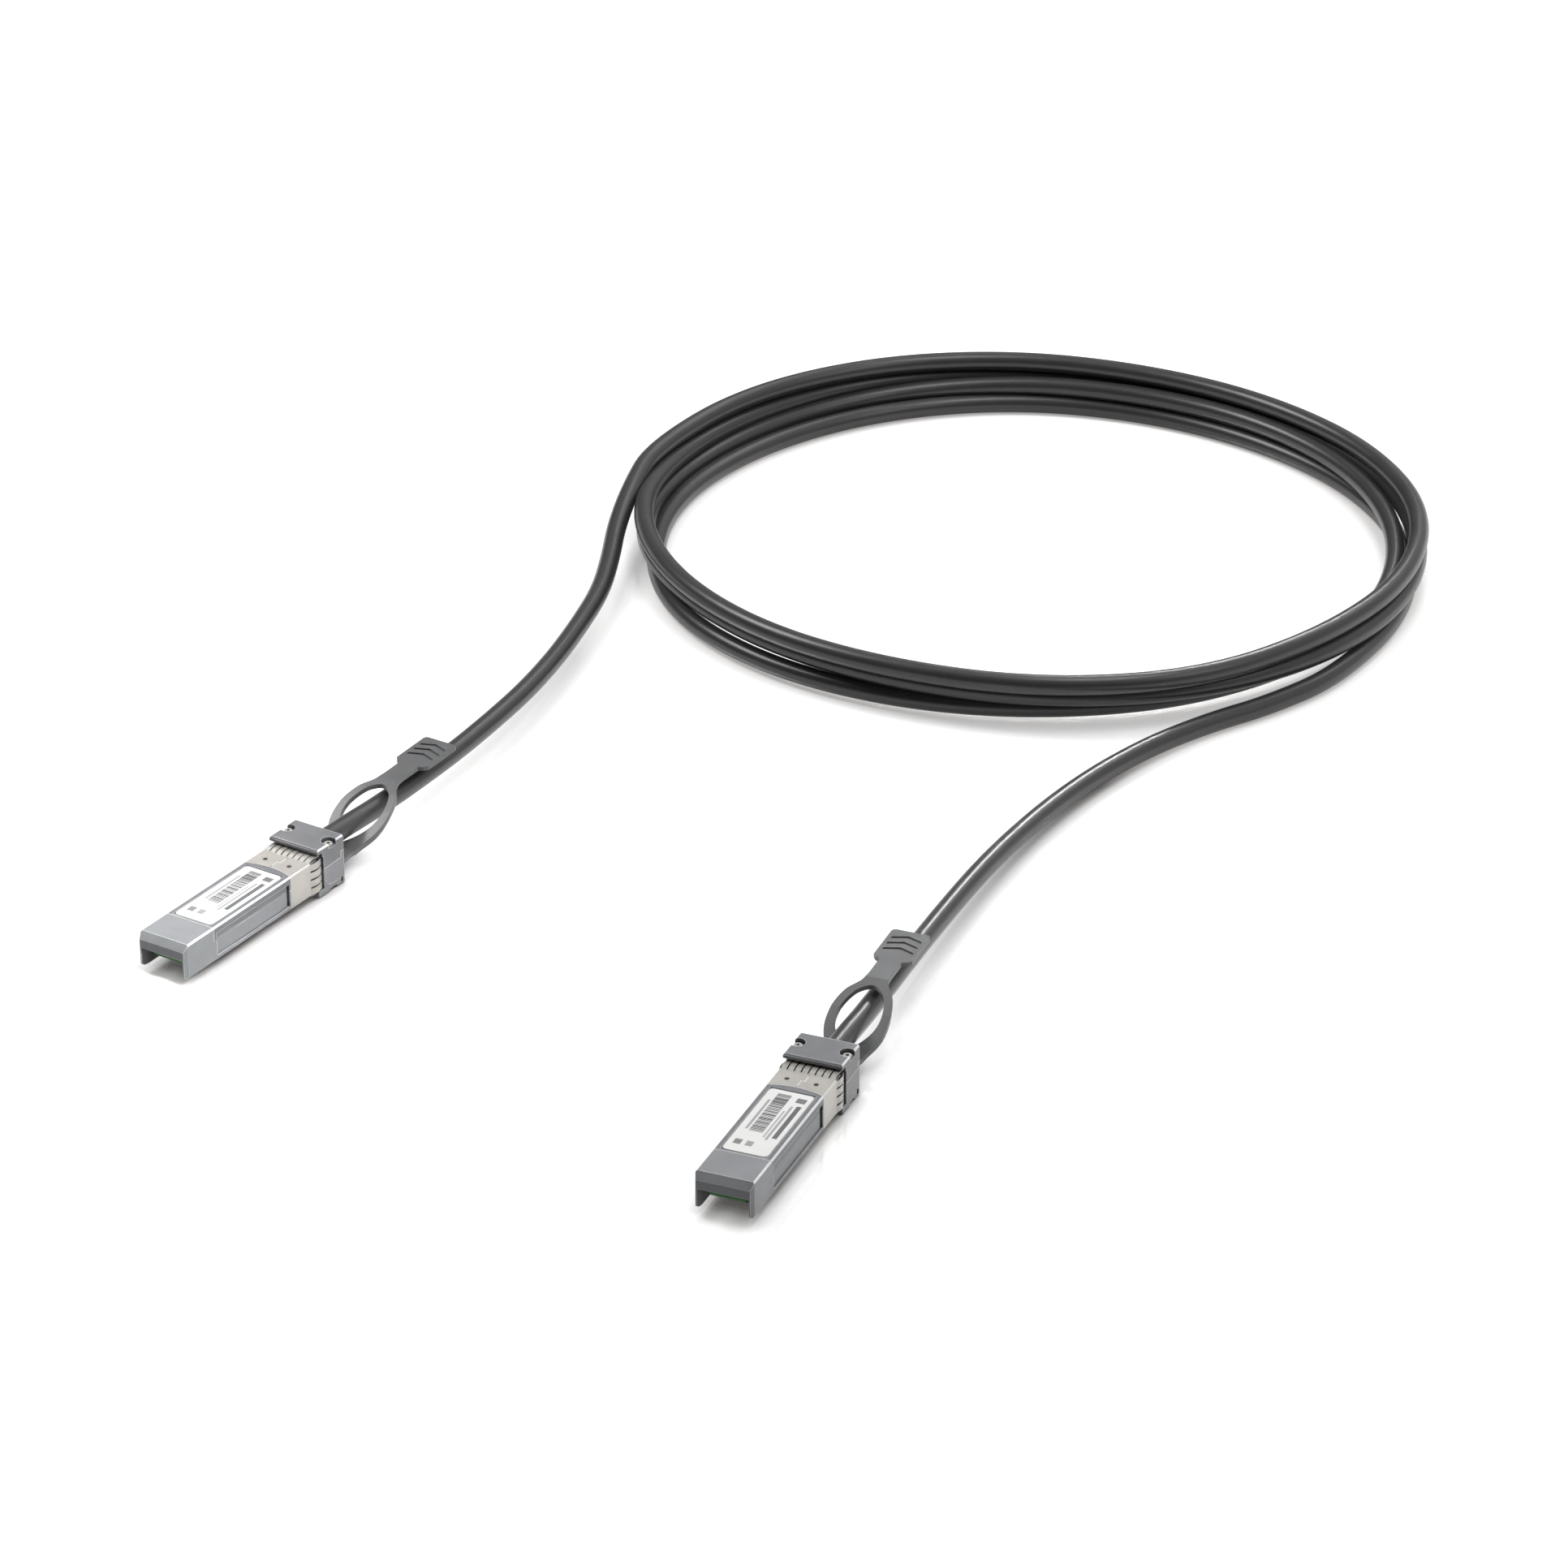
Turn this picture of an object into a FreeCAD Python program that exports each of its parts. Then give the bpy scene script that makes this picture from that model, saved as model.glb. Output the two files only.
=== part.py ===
import FreeCAD, Part
import math
import os

Vector = FreeCAD.Vector

# Direct attach copper cable: two identical small form-factor plugs joined by a coiled twinaxial cable.
# All lengths are in millimetres. Each plug is drawn in its own frame: x across, y from the nose (0) to
# the back of the head, z up from the underside of the slim body.

# Slim body that goes into the port
body_half = 6.70
body_height = 8.50
edge_break = 0.35
hood_back = 10.50
cover_front = 10.56
parting_height = 5.00
wall_inner = 5.45
plate_underside = 7.30
mouth_back = 9.00
lip_bottom = 4.70
lip_thick = 1.20
nose_cut_width = 0.50
nose_cut_length = 1.20
mouth_flare = 0.45
mouth_flare_length = 2.20
floor_top = 1.00
ledge_inner = 4.20
raised_floor_front = 30.0
cavity_back = 47.5

recess_front = 11.5
recess_back = 38.3
recess_bottom = 1.25
recess_top = 6.80
label_half = 5.15
label_front = 11.4
label_back = 37.9
label_depth = 0.15

# Head that stays outside the port
head_front = 48.90
head_back = 58.53
head_half = 6.95
head_top = 10.63
foot_bottom = -1.80
head_parting_back = 5.20
lip_underside = 9.50
lip_back = 50.60
window_back = 50.95
window_inner = 6.00

# Spring collar round the body in front of the head
collar_front = 38.96
collar_tongue = 40.20
collar_back = 46.25
sheet = 0.20
finger_tip = 50.20
collar_gap_half = 3.40

# Circuit board at the nose
board_half = 4.60
board_front = 2.60
board_back = 29.8
board_bottom = 2.10
board_top = 3.10
rear_floor = 2.80
pad_pitch = 0.80
pad_width = 0.55
pad_count = 10
pad_thick = 0.05

# Release mechanism under the body
channel_half = 3.10
channel_front = 31.0
channel_roof = 2.20
bay_half = 5.30
bay_front = 53.4
bay_roof = 2.60
pivot_y = 43.5
pivot_z = 0.90
pin_radius = 0.50
stop_pin_y = 57.45
stop_pin_z = -0.45
travel = 2.50
slider_half = 2.70
bridge_half = 3.40
crease_y = 86.0
crease_z = 11.15
grip_back = 106.75
grip_top = 11.90
tab_thick = 0.95
peg_y = 56.5
peg_z = 1.20
peg_half = 0.42

# Screws that hold the cover down at the head
screw_x = 5.75
screw_y = 54.5
screw_seat = 9.40
screw_length = 6.00

# Cable
cable_radius = 2.50
cable_axis_z = 6.40
ferrule_front = 51.4
ferrule_back = 57.0
ferrule_corner = 3.60
flange_corner = 4.20

# Where the two plugs lie: the near one's axis is +Y, the far one is turned about Z
near_nose = Vector(0, -50.0, -foot_bottom)
near_turn = 0.0
far_nose = Vector(-155.9, -4.5, -foot_bottom)
far_turn = -10.19

# Coil of cable: the section of the stacked turns leans outwards as it rises
coil_centre = Vector(-55.0, 274.5, 0)
coil_section = [(89.2, 0), (97.4, 0), (103.4, 9.6), (102.4, 15.1), (94.9, 15.1)]

reach = 20.0


def block(x0, x1, y0, y1, z0, z1):
    return Part.makeBox(x1 - x0, y1 - y0, z1 - z0, Vector(x0, y0, z0))


def both_sides(shape):
    return shape.fuse(shape.mirror(Vector(0, 0, 0), Vector(1, 0, 0)))


def polygon(points):
    return Part.Wire(Part.makePolygon(points + points[:1]))


def prism_across(profile, x0, x1):
    # profile points are (y, z)
    face = Part.Face(polygon([Vector(x0, y, z) for y, z in profile]))
    return face.extrude(Vector(x1 - x0, 0, 0))


def prism_up(outline, z0, z1):
    # outline points are (x, y)
    face = Part.Face(polygon([Vector(x, y, z0) for x, y in outline]))
    return face.extrude(Vector(0, 0, z1 - z0))


def rod_along(radius, y0, y1, x=0.0, z=0.0):
    return Part.makeCylinder(radius, y1 - y0, Vector(x, y0, z), Vector(0, 1, 0))


def rod_across(radius, x0, x1, y, z):
    return Part.makeCylinder(radius, x1 - x0, Vector(x0, y, z), Vector(1, 0, 0))


def rod_up(radius, z0, z1, x, y):
    return Part.makeCylinder(radius, z1 - z0, Vector(x, y, z0), Vector(0, 0, 1))


def hexagon_along(corner, y0, y1, x, z, shift=Vector(0, 0, 0)):
    # six-sided bar along Y with flats above and below; shift slants its far end
    outline = []
    for k in range(6):
        angle = math.radians(60 * k)
        outline.append(Vector(x + corner * math.cos(angle), y0, z + corner * math.sin(angle)))
    return Part.Face(polygon(outline)).extrude(Vector(0, y1 - y0, 0) + shift)


def edged_bar(half, z0, z1, bevel, y0, y1):
    # a bar along Y whose four long edges are bevelled
    profile = [(half - bevel, z0), (half, z0 + bevel), (half, z1 - bevel), (half - bevel, z1)]
    profile += [(-x, z) for x, z in reversed(profile)]
    face = Part.Face(polygon([Vector(x, y0, z) for x, z in profile]))
    return face.extrude(Vector(0, y1 - y0, 0))


def curve(points):
    line = Part.BSplineCurve()
    line.interpolate(points)
    return line.toShape()


def outer_form():
    # the plug's outside, before it is divided into housing and cover
    body = edged_bar(body_half, 0, body_height, edge_break, 0, head_front + 0.5)
    head = edged_bar(head_half, foot_bottom, head_top, edge_break, head_front, head_back)
    side_view = prism_across([
        (0, 0.5), (0.7, 0), (head_front, 0), (head_front, foot_bottom), (52.9, foot_bottom),
        (53.0, -0.87), (55.5, -0.87), (55.8, foot_bottom), (58.4, foot_bottom), (head_back, -1.6),
        (head_back, head_top), (head_front + 0.4, head_top), (head_front, head_top - 0.4),
        (head_front, body_height), (1.42, body_height), (0, 6.85),
    ], -reach, reach)
    return body.fuse(head).common(side_view)


def collar_seat():
    # shallow step round the body, with a tongue of full height on top in front of it
    ring = block(-reach, reach, collar_front, head_front, -1, body_height + 1)
    core = edged_bar(body_half - sheet, sheet, body_height - sheet, edge_break - sheet,
                      collar_front - 1, head_front + 1)
    return ring.cut(core).cut(seat_tongue())


def seat_tongue():
    half = body_half - sheet
    arc = Part.Arc(Vector(-half, collar_front, 8), Vector(0, collar_tongue, 8), Vector(half, collar_front, 8))
    chord = Part.LineSegment(Vector(half, collar_front, 8), Vector(-half, collar_front, 8))
    face = Part.Face(Part.Wire([arc.toShape(), chord.toShape()]))
    return face.extrude(Vector(0, 0, 2))


def inner_space():
    mouth = prism_across([
        (-1, -3), (mouth_back, -3), (mouth_back, plate_underside), (lip_thick, plate_underside),
        (lip_thick, lip_bottom), (-1, lip_bottom),
    ], -wall_inner, wall_inner)
    edge_x = wall_inner - 0.1
    slope = (mouth_flare + 0.1) / mouth_flare_length
    outline = [(edge_x, -1), (edge_x, mouth_flare_length), (wall_inner + mouth_flare + slope, -1)]
    flare = both_sides(prism_up(outline, -3, lip_bottom))
    bay = block(-ledge_inner, ledge_inner, mouth_back - 1, raised_floor_front, floor_top, rear_floor)
    card_space = block(-wall_inner, wall_inner, mouth_back - 1, raised_floor_front,
                       board_bottom, plate_underside)
    trough = block(-wall_inner, wall_inner, mouth_back - 1, cavity_back, rear_floor, plate_underside)
    passage = block(-3.0, 3.0, cavity_back - 0.5, ferrule_front, 3.4, plate_underside)
    seat = hexagon_along(ferrule_corner + 0.01, ferrule_front, ferrule_back, 0, cable_axis_z)
    flange_seat = hexagon_along(flange_corner + 0.05, ferrule_front, ferrule_front + 1.1, 0, cable_axis_z)
    exit_hole = rod_along(cable_radius + 0.1, ferrule_back - 0.1, reach * 4, 0, cable_axis_z)
    return [mouth, flare, bay, card_space, trough, passage, seat, flange_seat, exit_hole]


def nose_corner():
    # slanted cut down each front corner of the nose
    front_x = body_half - nose_cut_width
    slope = nose_cut_width / nose_cut_length
    outline = [(front_x - slope, -1), (body_half + slope, nose_cut_length + 1), (reach, -1)]
    return both_sides(prism_up(outline, -3, reach))


def head_cuts():
    lip_gap = block(-reach, reach, head_front, lip_back, body_height - sheet, lip_underside)
    window = block(window_inner, reach, head_front, window_back, 0, body_height - sheet)
    side_recess = block(body_half - 0.3, reach, recess_front, recess_back, recess_bottom, recess_top)
    recess_end = block(body_half - 0.8, reach, recess_back - 0.9, recess_back, recess_bottom, recess_top)
    return [lip_gap, both_sides(window), both_sides(side_recess.fuse(recess_end))]


def lower_region():
    return prism_across([
        (-1, -3), (-1, reach), (hood_back, reach), (hood_back, parting_height),
        (head_front, parting_height), (57.5, head_parting_back), (57.5, 6.8), (70, 6.8), (70, -3),
    ], -reach, reach)


def bay_outline(radius):
    # quarter round and straight line pressed into the head's flank round the pull-tab bay
    centre_y = 54.05
    centre_z = 2.30
    slant = radius * math.sqrt(0.5)
    x = head_half - 0.1
    start = Vector(x, centre_y - radius, centre_z)
    middle = Vector(x, centre_y - slant, centre_z - slant)
    end = Vector(x, centre_y, centre_z - radius)
    corner = Vector(x, reach * 4, centre_z - radius)
    top = Vector(x, reach * 4, centre_z)
    edges = [Part.Arc(start, middle, end).toShape()]
    for a, b in ((end, corner), (corner, top), (top, start)):
        edges.append(Part.LineSegment(a, b).toShape())
    return Part.Face(Part.Wire(edges)).extrude(Vector(1, 0, 0))


def bay_groove():
    groove = bay_outline(2.30).cut(bay_outline(2.16))
    return both_sides(groove)


def stop_pin_hole():
    lower = rod_across(pin_radius + 0.01, bay_half - 0.5, reach, stop_pin_y, stop_pin_z - 0.2)
    upper = rod_across(pin_radius + 0.01, bay_half - 0.5, reach, stop_pin_y, stop_pin_z + 0.2)
    middle = block(bay_half - 0.5, reach, stop_pin_y - pin_radius - 0.01, stop_pin_y + pin_radius + 0.01,
                   stop_pin_z - 0.2, stop_pin_z + 0.2)
    return both_sides(lower.fuse(upper).fuse(middle))


def casting():
    return outer_form().cut(inner_space() + head_cuts() + [collar_seat(), nose_corner()])


def housing(blank):
    lower = blank.common(lower_region())
    channel = block(-channel_half, channel_half, channel_front, reach * 4, -3, channel_roof)
    bay = block(-bay_half, bay_half, bay_front, reach * 4, -3, bay_roof)
    pivot_hole = rod_across(pin_radius, -4.4, 4.4, pivot_y, pivot_z)
    screw_hole = rod_up(0.60, screw_seat - screw_length - 0.2, reach, screw_x, screw_y)
    nose_relief = block(-wall_inner, wall_inner, mouth_back - 1, mouth_back + 0.8, -1, 0.4)
    holes = [pivot_hole, both_sides(screw_hole), stop_pin_hole()]
    return lower.cut([channel, bay, bay_groove(), nose_relief] + holes)


def cover(blank):
    upper = blank.cut(lower_region())
    upper = upper.cut(block(-reach, reach, -1, cover_front, -3, reach))
    boss = rod_along(3.30, head_back - 1, 59.3, 0, 6.9).cut(block(-reach, reach, 50, 70, -3, 6.8))
    upper = upper.fuse(boss.cut(rod_along(cable_radius + 0.1, 50, 70, 0, cable_axis_z)))
    label_recess = block(-label_half - 0.15, label_half + 0.15, label_front - 0.5, label_back + 0.5,
                         body_height - label_depth, reach)
    pocket = rod_up(1.75, screw_seat, reach, screw_x, screw_y)
    screw_hole = rod_up(0.70, 0, reach, screw_x, screw_y)
    seam = block(body_half - 0.42, reach, cover_front - 1, recess_back, parting_height, parting_height + 0.14)
    return upper.cut([label_recess, both_sides(pocket), both_sides(screw_hole), both_sides(seam)])


def finger(width, peak, tip, tip_y):
    # one spring finger, folded up to a crest and down to its tip, drawn as if on top of the body
    # with its outer skin at z = 0
    length = tip_y - collar_back
    bend = [(-0.1, 0), (0.30 * length, 0.95 * peak), (0.60 * length, 0.95 * peak), (length, tip)]
    outer = [(collar_back + y, z) for y, z in bend]
    inner = [(y, z - sheet) for y, z in reversed(outer)]
    return prism_across(outer + inner, -width / 2, width / 2)


def turned(shape, degrees, x, z):
    copy = shape.copy()
    copy.rotate(Vector(0, 0, 0), Vector(0, 1, 0), degrees)
    copy.translate(Vector(x, 0, z))
    return copy


def row_of(count, pitch):
    return [(i - (count - 1) / 2) * pitch for i in range(count)]


def collar():
    sleeve = edged_bar(body_half, 0, body_height, edge_break, collar_front, collar_back)
    bore = edged_bar(body_half - sheet, sheet, body_height - sheet, edge_break - sheet,
                      collar_front - 1, collar_back + 1)
    gap = block(-collar_gap_half, collar_gap_half, collar_front - 1, reach * 4, -1, 1)
    sleeve = sleeve.cut([bore, gap, seat_tongue()])
    fingers = []
    for x in row_of(8, 1.62):
        fingers.append(turned(finger(1.25, 0.42, 0.20, finger_tip), 0, x, body_height))
    for z in row_of(4, 2.05):
        for side in (-1, 1):
            fingers.append(turned(finger(1.60, 0.42, -0.10, finger_tip + 0.2), 90 * side,
                                  side * body_half, body_height / 2 + z))
    for x in (4.13, 5.75):
        for side in (-1, 1):
            fingers.append(turned(finger(1.25, 0.40, 0.10, head_front - 0.3), 180, side * x, 0))
    whole = sleeve.multiFuse(fingers).removeSplitter()
    depth = sheet / 2
    seam = [block(-0.25, -0.15, collar_tongue - 0.1, 43.1, body_height - depth, reach),
            block(-0.25, 0.65, 43.0, 43.1, body_height - depth, reach),
            block(0.55, 0.65, 43.0, collar_back - 0.3, body_height - depth, reach)]
    dimple = rod_up(0.55, body_height - depth, reach, 3.4, 42.7)
    return whole.cut(seam + [both_sides(dimple)])


def circuit_board():
    edge = 0.25
    board = prism_across([
        (board_front, board_bottom + edge), (board_front + edge, board_bottom), (board_back, board_bottom),
        (board_back, board_top), (board_front + edge, board_top), (board_front, board_top - edge),
    ], -board_half, board_half)
    corner = prism_up([(board_half - 0.6, board_front - 0.1), (board_half + 0.1, board_front - 0.1),
                       (board_half + 0.1, board_front + 0.6)], 0, 8)
    return board.cut(both_sides(corner))


def contacts():
    pads = []
    for x in row_of(pad_count, pad_pitch):
        for z in (board_top, board_bottom - pad_thick):
            pads.append(block(x - pad_width / 2, x + pad_width / 2, board_front + 0.45, board_front + 4.85,
                              z, z + pad_thick))
    return Part.Compound(pads)


def solder_block():
    return block(-4.3, 4.3, board_back - 6.0, board_back, board_top, 7.0)


def wire_pairs():
    pairs = []
    for side in (-1, 1):
        lead_in = Vector(side * -0.8, 0, 1.0)
        pairs.append(hexagon_along(0.85, board_back, ferrule_front, side * 2.0, 5.2, lead_in))
    return Part.Compound(pairs)


def ferrule():
    # crimped to a hexagon round the cable's end
    barrel = hexagon_along(ferrule_corner, ferrule_front, ferrule_back, 0, cable_axis_z)
    flange = hexagon_along(flange_corner, ferrule_front, ferrule_front + 1.0, 0, cable_axis_z)
    return barrel.fuse(flange)


def label():
    sticker = block(-label_half, label_half, label_front, label_back,
                    body_height - label_depth, body_height - label_depth + 0.12)
    corners = [e for e in sticker.Edges if abs(e.tangentAt(e.FirstParameter).z) > 0.99]
    return sticker.makeFillet(1.0, corners)


def screws():
    parts = []
    for side in (-1, 1):
        x = side * screw_x
        head = rod_up(0.95, screw_seat, screw_seat + 0.6, x, screw_y)
        shank = rod_up(0.59, screw_seat - screw_length, screw_seat + 0.1, x, screw_y)
        angles = [math.radians(60 * k) for k in range(6)]
        hexagon = [(x + 0.45 * math.cos(a), screw_y + 0.45 * math.sin(a)) for a in angles]
        socket = prism_up(hexagon, screw_seat + 0.25, screw_seat + 1)
        parts.append(head.fuse(shank).cut(socket))
    return Part.Compound(parts)


def latch():
    # rocker: locking post in front of the pivot, tail behind it
    plate = block(-2.6, 2.6, 35.0, pivot_y, -0.1, 0.8)
    barrel = rod_across(0.95, -2.6, 2.6, pivot_y, pivot_z)
    post = prism_up([(0, 36.2), (1.6, 39.0), (-1.6, 39.0)], -1.0, 0)
    tail = block(-1.5, 1.5, pivot_y, 50.9, -0.65, 0.1)
    stem = block(-1.5, 1.5, 49.85, 50.55, 0, 0.75)
    nose = rod_across(0.35, -1.5, 1.5, 50.2, 0.75)
    whole = plate.multiFuse([barrel, post, tail, stem, nose])
    return whole.cut(rod_across(pin_radius + 0.05, -5, 5, pivot_y, pivot_z)).removeSplitter()


def latch_pin():
    return rod_across(pin_radius, -4.4, 4.4, pivot_y, pivot_z)


def stop_pin():
    return rod_across(pin_radius, -6.6, 6.6, stop_pin_y, stop_pin_z)


def slider():
    # the ramp presses the rocker's tail down as the slider is pulled back
    ramp = prism_across([(46.9, 0.28), (47.8, 0.28), (50.3, 1.22), (50.3, 1.6), (46.9, 1.6)], -1.6, 1.6)
    plate = block(-slider_half, slider_half, 46.9, 54.5, 1.22, 1.95)
    bridge = block(-bridge_half, bridge_half, 53.7, 58.5, -1.5, 1.95)
    clear = 0.05
    slot_front = stop_pin_y - travel
    reach_x = bridge_half + 1
    front_end = rod_across(pin_radius + clear, -reach_x, reach_x, slot_front, stop_pin_z)
    back_end = rod_across(pin_radius + clear, -reach_x, reach_x, stop_pin_y, stop_pin_z)
    middle = block(-reach_x, reach_x, slot_front, stop_pin_y,
                   stop_pin_z - pin_radius - clear, stop_pin_z + pin_radius + clear)
    peg_hole = block(2.35, reach, peg_y - peg_half - clear, peg_y + peg_half + clear,
                     peg_z - peg_half - clear, peg_z + peg_half + clear)
    whole = plate.multiFuse([ramp, bridge])
    return whole.cut([front_end, back_end, middle, both_sides(peg_hole)]).removeSplitter()


def latch_spring():
    # leaf that presses the locking post down
    leaf = prism_across([
        (32.0, 2.05), (35.2, 2.05), (39.2, 0.84), (40.2, 0.84), (41.0, 1.15), (40.95, 1.32),
        (40.1, 0.99), (39.25, 0.99), (35.3, 2.20), (32.0, 2.20),
    ], -1.0, 1.0)
    return leaf


def mirrored_points(points):
    return [(-x, y) for x, y in reversed(points)]


def tab_plan():
    # outline from above: a fork on the slider, a ring that opens round the cable, a neck and a grip
    outer = [(4.7, 54.6), (4.6, 58.5), (4.3, 62.5), (4.2, 66.0), (5.5, 68.8), (6.6, 71.0), (7.1, 74.6),
             (6.4, 79.0), (4.9, 82.2), (3.1, 84.8), (2.62, 87.4), (2.62, 91.5)]
    grip = [(2.62, 91.5), (2.62, 93.7), (3.9, 94.3), (4.6, 95.2), (4.6, grip_back - 0.9),
            (4.35, grip_back - 0.25), (3.7, grip_back)]
    inner_right = [(2.5, 69.6), (4.5, 72.6), (5.05, 75.6), (4.5, 78.6), (2.8, 81.9)]
    inner = [(0, 67.5)] + inner_right + [(0, 83.6)] + mirrored_points(inner_right) + [(0, 67.5)]

    def spread(points):
        return [Vector(x, y, 0) for x, y in points]

    right = curve(spread(outer))
    left = curve(spread(mirrored_points(outer)))
    end = Part.makePolygon(spread(grip + mirrored_points(grip)))
    front = Part.LineSegment(Vector(-4.7, 54.6, 0), Vector(4.7, 54.6, 0)).toShape()
    outline = Part.Wire(Part.__sortEdges__([right, left, front] + end.Edges))
    solid = Part.Face(outline).extrude(Vector(0, 0, 14))
    hole = Part.Face(Part.Wire(curve(spread(inner)))).extrude(Vector(0, 0, 14))
    fork_gap = block(-bridge_half, bridge_half, 53.6, 59.0 + travel, -1, 14)
    return solid.cut([hole, fork_gap])


def tab_side():
    # side view: flat under the cable, then the ring rises round it to the neck and grip above it
    upper = [(54.6, 2.0), (66.2, 2.1), (71.0, 4.9), (76.5, 8.0), (81.5, 9.95), (crease_y, crease_z),
             (grip_back, grip_top)]
    lower = [(54.6, 0.5), (66.5, 0.95), (71.5, 3.8), (77.0, 6.95), (81.8, 8.95),
             (crease_y + 0.2, crease_z - tab_thick), (grip_back, grip_top - tab_thick)]
    return prism_across(upper + lower[::-1], -reach, reach)


def chevron(apex_y):
    # shallow groove that points at the cable's coil
    half = 3.6
    back = 1.35
    width = 0.8
    depth = 0.35
    top = crease_z + (grip_top - crease_z) * (apex_y - crease_y) / (grip_back - crease_y)
    ahead = [(-half, apex_y - back), (0, apex_y), (half, apex_y - back)]
    outline = [(x, y + width / 2) for x, y in ahead] + [(x, y - width / 2) for x, y in reversed(ahead)]
    return prism_up(outline, top - depth, reach)


def pull_tab():
    form = tab_plan().common(tab_side())
    peg = block(2.4, 3.6, peg_y - peg_half, peg_y + peg_half, peg_z - peg_half, peg_z + peg_half)
    form = form.fuse(both_sides(peg))
    return form.cut([chevron(apex) for apex in (104.4, 101.9, 99.4)])


def cable_section(centre, heading):
    # twelve-sided outline with the area of the round cable, so that the long tube has few facets
    sides = 12
    step = 2 * math.pi / sides
    corner = cable_radius * math.sqrt(step / math.sin(step))
    across = heading.cross(Vector(0, 0, 1)).normalize()
    above = across.cross(heading).normalize()
    outline = []
    for k in range(sides):
        angle = (k + 0.5) * step
        outline.append(centre + across * (corner * math.cos(angle)) + above * (corner * math.sin(angle)))
    return Part.Face(polygon(outline))


def routed_tube(name, points):
    # straight runs joined by the largest tangent arcs that the runs allow
    edges = []
    last = points[0]
    radii = []
    for before, at, after in zip(points, points[1:], points[2:]):
        run_in = at - before
        run_out = after - at
        turn = run_in.getAngle(run_out)
        tangent = 0.45 * min(run_in.Length, run_out.Length)
        radius = tangent / math.tan(turn / 2)
        radii.append(radius)
        heading_in = Vector(run_in).normalize()
        heading_out = Vector(run_out).normalize()
        start = at - heading_in * tangent
        end = at + heading_out * tangent
        inward = (heading_out - heading_in).normalize()
        middle = at + inward * (radius / math.cos(turn / 2) - radius)
        edges.append(Part.LineSegment(last, start).toShape())
        edges.append(Part.Arc(start, middle, end).toShape())
        last = end
    edges.append(Part.LineSegment(last, points[-1]).toShape())
    path = Part.Wire(edges)
    tube = path.makePipe(cable_section(points[0], points[1] - points[0]))
    expected = math.pi * cable_radius ** 2 * path.Length
    print(name, "length", round(path.Length, 1), "volume ratio", round(tube.Volume / expected, 5),
          "radii", [round(radius) for radius in radii])
    return tube


def coil():
    section = [Vector(coil_centre.x + r, coil_centre.y, z) for r, z in coil_section]
    return Part.Face(polygon(section)).revolve(coil_centre, Vector(0, 0, 1), 360)


def plug_placement(nose, turn):
    return FreeCAD.Placement(nose, FreeCAD.Rotation(Vector(0, 0, 1), turn))


def plug_parts():
    blank = casting()
    return {
        "housing": housing(blank),
        "cover": cover(blank),
        "collar": collar(),
        "circuit_board": circuit_board(),
        "contacts": contacts(),
        "solder_block": solder_block(),
        "wire_pairs": wire_pairs(),
        "ferrule": ferrule(),
        "label": label(),
        "screws": screws(),
        "latch": latch(),
        "latch_pin": latch_pin(),
        "latch_spring": latch_spring(),
        "slider": slider(),
        "stop_pin": stop_pin(),
        "pull_tab": pull_tab(),
    }


def leads(near, far):
    near_route = [near.multVec(Vector(0, y, cable_axis_z)) for y in (ferrule_back, 70.0)] + [
        Vector(-1.0, 46, 6.6), Vector(-2.6, 98, 5.0), Vector(7, 172, 3.0), Vector(34, 218, 2.6),
        Vector(44.5, 247, 2.6), Vector(43.2, 268, 2.6),
    ]
    far_route = [far.multVec(Vector(0, y, cable_axis_z)) for y in (ferrule_back, 67.0)] + [
        Vector(-141.2, 78, 7.25), Vector(-137.3, 110, 7.0), Vector(-135.6, 152, 6.3),
        Vector(-141.5, 206, 5.7), Vector(-152, 238, 8.4), Vector(-157.6, 262, 11.6), Vector(-157.2, 279, 12.1),
    ]
    return {"near_lead": routed_tube("near_lead", near_route), "far_lead": routed_tube("far_lead", far_route)}


def main():
    os.makedirs("parts", exist_ok=True)
    near = plug_placement(near_nose, near_turn)
    far = plug_placement(far_nose, far_turn)
    nodes = {}
    for name, shape in plug_parts().items():
        for prefix, placement in (("near", near), ("far", far)):
            copy = shape.copy()
            copy.Placement = placement.multiply(copy.Placement)
            nodes[prefix + "_" + name] = copy
    nodes.update(leads(near, far))
    nodes["coil"] = coil()
    for name, shape in nodes.items():
        print(name, "valid", shape.isValid(), "solids", len(shape.Solids), "volume", round(shape.Volume, 2))
        shape.exportStep("parts/" + name + ".step")


main()
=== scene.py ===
import bpy
import math
from mathutils import Matrix, Vector


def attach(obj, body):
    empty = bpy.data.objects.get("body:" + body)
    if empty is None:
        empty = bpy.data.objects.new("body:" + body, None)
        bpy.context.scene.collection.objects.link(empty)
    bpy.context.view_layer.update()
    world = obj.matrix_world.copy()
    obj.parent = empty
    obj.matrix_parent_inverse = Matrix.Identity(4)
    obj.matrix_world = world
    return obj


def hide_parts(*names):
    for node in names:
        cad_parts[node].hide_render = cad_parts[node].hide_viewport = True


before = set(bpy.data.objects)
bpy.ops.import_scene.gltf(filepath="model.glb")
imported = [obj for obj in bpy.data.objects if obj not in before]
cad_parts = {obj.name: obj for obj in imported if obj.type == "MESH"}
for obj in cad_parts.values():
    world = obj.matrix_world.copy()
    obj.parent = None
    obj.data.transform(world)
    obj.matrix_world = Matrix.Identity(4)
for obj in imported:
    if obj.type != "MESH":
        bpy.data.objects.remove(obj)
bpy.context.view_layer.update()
print("frame loaded")

mm = 0.001
nearNose = Vector((0, -50.0, 1.8)) * mm
farNose = Vector((-155.9, -4.5, 1.8)) * mm
farTurn = math.radians(-10.19)


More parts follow.
